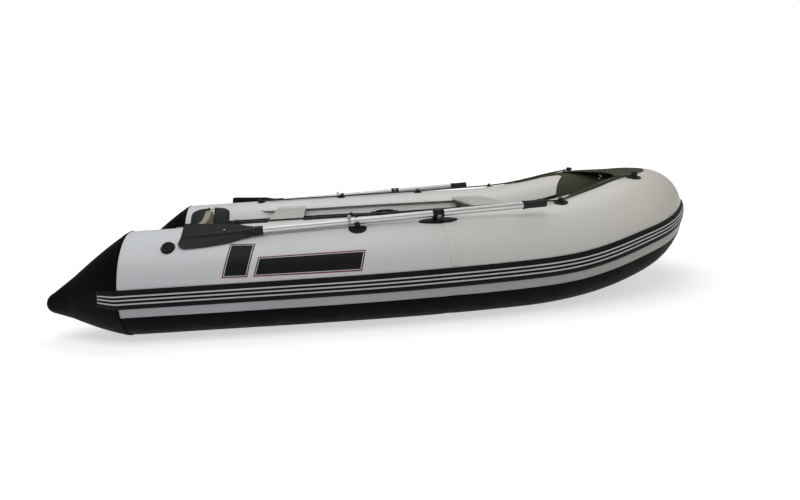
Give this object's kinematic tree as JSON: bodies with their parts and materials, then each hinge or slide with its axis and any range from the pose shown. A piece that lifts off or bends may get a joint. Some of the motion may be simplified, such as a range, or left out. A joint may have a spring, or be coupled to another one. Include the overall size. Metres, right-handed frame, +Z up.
{
  "type": "inflatable boat",
  "caption": "Inflatable rowing boat with a curved tube hull, stern cones, plywood transom and floor, two benches, bow cover, oarlocks and stowed oars.",
  "frame": {"origin": "centre of the boat's box, on the floor that it stands on", "axes": "+X forward to the bow, +Y to port, +Z up"},
  "size_m": [3.2139, 1.72, 0.5645],
  "materials": {
    "tube_fabric": "satin coated fabric",
    "black_fabric": "satin coated fabric",
    "deck_fabric": "matte coated fabric",
    "rail_rubber": "satin",
    "grey_rubber": "matte",
    "black_plastic": "matte",
    "blade_plastic": "matte",
    "black_grip": "matte",
    "black_rope": "braided",
    "oar_aluminium": "brushed",
    "floor_aluminium": "satin",
    "floor_plywood": "dark non-slip varnish",
    "transom_plywood": "varnished",
    "pad_plastic": "satin",
    "bench_board": "pale painted"
  },
  "bodies": {
    "hull": {"starboard_tube": "tube_fabric", "starboard_stern_cone": "black_fabric", "starboard_rub_rail": "rail_rubber", "starboard_transom_holder": "grey_rubber", "starboard_bench_rail": "tube_fabric", "starboard_valve": "black_plastic", "starboard_handle": "black_plastic", "starboard_rope_eyes": "black_plastic", "starboard_lifeline": "black_rope", "starboard_oarlock_base": "black_plastic", "starboard_oar_rest": "black_plastic", "starboard_floor_stringer": "floor_aluminium", "port_tube": "tube_fabric", "port_stern_cone": "black_fabric", "port_rub_rail": "rail_rubber", "port_transom_holder": "grey_rubber", "port_bench_rail": "tube_fabric", "port_valve": "black_plastic", "port_handle": "black_plastic", "port_rope_eyes": "black_plastic", "port_lifeline": "black_rope", "port_oarlock_base": "black_plastic", "port_oar_rest": "black_plastic", "port_floor_stringer": "floor_aluminium", "bow_tube": "tube_fabric", "hull_bottom": "black_fabric", "keel_strip": "rail_rubber", "floor_panel_1": "floor_plywood", "floor_panel_2": "floor_plywood", "floor_panel_3": "floor_plywood", "floor_panel_4": "floor_plywood", "floor_joint_profiles": "floor_aluminium", "transom_board": "transom_plywood", "outer_motor_pad": "pad_plastic", "inner_motor_pad": "pad_plastic", "drain_plug": "black_plastic", "front_bench": "bench_board", "bow_deck": "deck_fabric", "bow_valve": "black_plastic", "tow_eye": "black_plastic"},
    "rear_seat": {"rear_bench": "bench_board"},
    "starboard_oarlock": {"starboard_oarlock_fork": "black_plastic"},
    "starboard_oar": {"starboard_oar_shaft": "oar_aluminium", "starboard_oar_collar": "black_plastic", "starboard_oar_grip": "black_grip", "starboard_oar_blade": "blade_plastic"},
    "port_oarlock": {"port_oarlock_fork": "black_plastic"},
    "port_oar": {"port_oar_shaft": "oar_aluminium", "port_oar_collar": "black_plastic", "port_oar_grip": "black_grip", "port_oar_blade": "blade_plastic"}
  },
  "joints": [
    {"name": "rear_bench_slide", "type": "slide", "parent": "hull", "child": "rear_seat", "axis": [1, 0, 0], "range_m": [-0.1, 0.14]},
    {"name": "starboard_oar_swing", "type": "hinge", "parent": "hull", "child": "starboard_oarlock", "pos_m": [0.17191, -0.71242, 0.46648], "axis": [0.034, -0.4292, 0.9026], "range_deg": [0, 150]},
    {"name": "starboard_oar_lift", "type": "hinge", "parent": "starboard_oarlock", "child": "starboard_oar", "pos_m": [0.17191, -0.71242, 0.46648], "axis": [-0.0505, 0.9012, 0.4304], "range_deg": [0, 4.5]},
    {"name": "port_oar_swing", "type": "hinge", "parent": "hull", "child": "port_oarlock", "pos_m": [0.17191, 0.71242, 0.46648], "axis": [-0.034, -0.4292, -0.9026], "range_deg": [0, 150]},
    {"name": "port_oar_lift", "type": "hinge", "parent": "port_oarlock", "child": "port_oar", "pos_m": [0.17191, 0.71242, 0.46648], "axis": [0.0505, 0.9012, -0.4304], "range_deg": [0, 4.5]}
  ]
}
